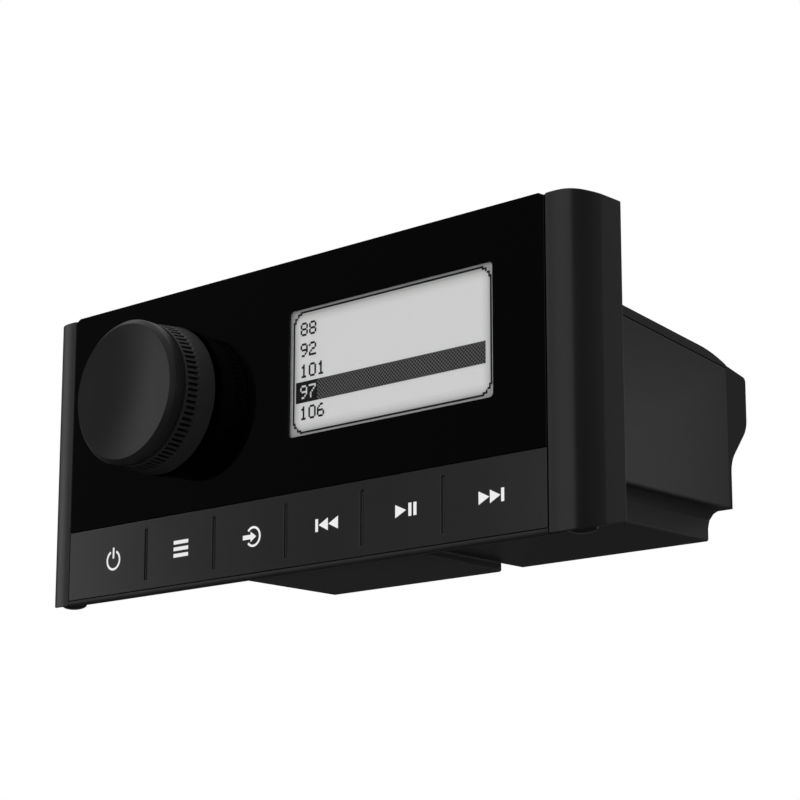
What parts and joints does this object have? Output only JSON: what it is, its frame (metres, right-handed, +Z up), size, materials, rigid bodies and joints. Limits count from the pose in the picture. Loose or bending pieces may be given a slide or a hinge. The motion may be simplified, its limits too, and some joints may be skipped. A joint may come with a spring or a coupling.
{
  "type": "marine stereo",
  "caption": "Panel-mounted marine stereo: gloss face with a large dished knob, a light display and a strip of keys, on a sealed housing with a finned rear",
  "frame": {"origin": "centre of the four mounting holes, on the back face of the flange", "axes": "+X to the right seen from the front, +Y from the front into the panel, +Z up"},
  "size_m": [0.1744, 0.0975, 0.076],
  "materials": {
    "gloss_black": "polished black face plate",
    "clear_window": "clear, hard-coated",
    "display_grey": "printed grey border",
    "display_glass": "light reflective display",
    "light_guide": "milky acrylic",
    "inner_plastic": "moulded",
    "bezel_black": "fine satin moulding",
    "key_black": "satin silicone",
    "silicone": "plain silicone",
    "switch_body": "stamped frame",
    "board_green": "solder mask",
    "screw_steel": "stainless",
    "encoder_metal": "plated",
    "contact_brass": "plated contact",
    "shaft_metal": "turned",
    "spring_steel": "spring temper",
    "knob_black": "satin moulding",
    "knob_rubber": "soft grip",
    "cap_black": "satin moulding",
    "seal_rubber": "closed-cell",
    "housing_black": "fine-grained moulding",
    "sink_black": "black coated casting",
    "chip_black": "epoxy package",
    "capacitor_sleeve": "shrink sleeve",
    "choke_copper": "enamelled winding",
    "tin_can": "bright tin plate",
    "ribbon_white": "plain",
    "socket_white": "moulded nylon",
    "socket_black": "moulded nylon"
  },
  "bodies": {
    "unit": {"lens_panel": "gloss_black", "display_window": "clear_window", "lcd_frame": "display_grey", "lcd_panel": "display_glass", "backlight_plate": "light_guide", "display_carrier": "inner_plastic", "front_bezel": "bezel_black", "key_mat": "silicone", "tact_switches": "switch_body", "front_board": "board_green", "front_board_screws": "screw_steel", "encoder_body": "encoder_metal", "encoder_washer": "encoder_metal", "encoder_nut": "encoder_metal", "push_dome": "spring_steel", "bezel_seal": "seal_rubber", "bezel_screws": "screw_steel", "rear_housing": "housing_black", "mounting_gasket": "seal_rubber", "top_cover": "housing_black", "cover_screws": "screw_steel", "heat_sink": "sink_black", "heat_sink_screws": "screw_steel", "main_board": "board_green", "board_screws": "screw_steel", "amplifier_chip": "chip_black", "chip_clamp": "spring_steel", "clamp_screws": "screw_steel", "capacitors": "capacitor_sleeve", "power_choke": "choke_copper", "tuner_can": "tin_can", "ribbon_cable": "ribbon_white", "ribbon_sockets": "ribbon_white", "harness_socket": "socket_black", "harness_pins": "contact_brass", "rca_shells": "tin_can", "rca_inserts": "socket_white", "antenna_socket": "tin_can", "antenna_insulator": "socket_white", "digital_socket": "contact_brass", "digital_insulator": "socket_white"},
    "key_power": {"key_power": "key_black"},
    "key_menu": {"key_menu": "key_black"},
    "key_source": {"key_source": "key_black"},
    "key_previous": {"key_previous": "key_black"},
    "key_play": {"key_play": "key_black"},
    "key_next": {"key_next": "key_black"},
    "rotor": {"encoder_rotor": "contact_brass"},
    "knob": {"encoder_shaft": "shaft_metal", "knob_core": "knob_black", "knob_grip": "knob_rubber", "knob_cap": "knob_black"},
    "cap_left": {"end_cap_left": "cap_black"},
    "cap_right": {"end_cap_right": "cap_black"}
  },
  "joints": [
    {"name": "power_press", "type": "slide", "parent": "unit", "child": "key_power", "axis": [0, 1, 0], "range_m": [0, 0.0008], "stiffness_N_per_m": 2500, "deforming": ["key_mat"]},
    {"name": "menu_press", "type": "slide", "parent": "unit", "child": "key_menu", "axis": [0, 1, 0], "range_m": [0, 0.0008], "stiffness_N_per_m": 2500, "deforming": ["key_mat"]},
    {"name": "source_press", "type": "slide", "parent": "unit", "child": "key_source", "axis": [0, 1, 0], "range_m": [0, 0.0008], "stiffness_N_per_m": 2500, "deforming": ["key_mat"]},
    {"name": "previous_press", "type": "slide", "parent": "unit", "child": "key_previous", "axis": [0, 1, 0], "range_m": [0, 0.0008], "stiffness_N_per_m": 2500, "deforming": ["key_mat"]},
    {"name": "play_press", "type": "slide", "parent": "unit", "child": "key_play", "axis": [0, 1, 0], "range_m": [0, 0.0008], "stiffness_N_per_m": 2500, "deforming": ["key_mat"]},
    {"name": "next_press", "type": "slide", "parent": "unit", "child": "key_next", "axis": [0, 1, 0], "range_m": [0, 0.0008], "stiffness_N_per_m": 2500, "deforming": ["key_mat"]},
    {"name": "knob_turn", "type": "hinge", "parent": "unit", "child": "rotor", "pos_m": [-0.0422, 0, 0.0103], "axis": [0, 1, 0], "continuous": true},
    {"name": "knob_push", "type": "slide", "parent": "rotor", "child": "knob", "axis": [0, 1, 0], "range_m": [0, 0.0006], "stiffness_N_per_m": 6000, "deforming": ["push_dome"]},
    {"name": "cap_left_pull", "type": "slide", "parent": "unit", "child": "cap_left", "axis": [0, -1, 0], "range_m": [0, 0.018]},
    {"name": "cap_right_pull", "type": "slide", "parent": "unit", "child": "cap_right", "axis": [0, -1, 0], "range_m": [0, 0.018]}
  ]
}
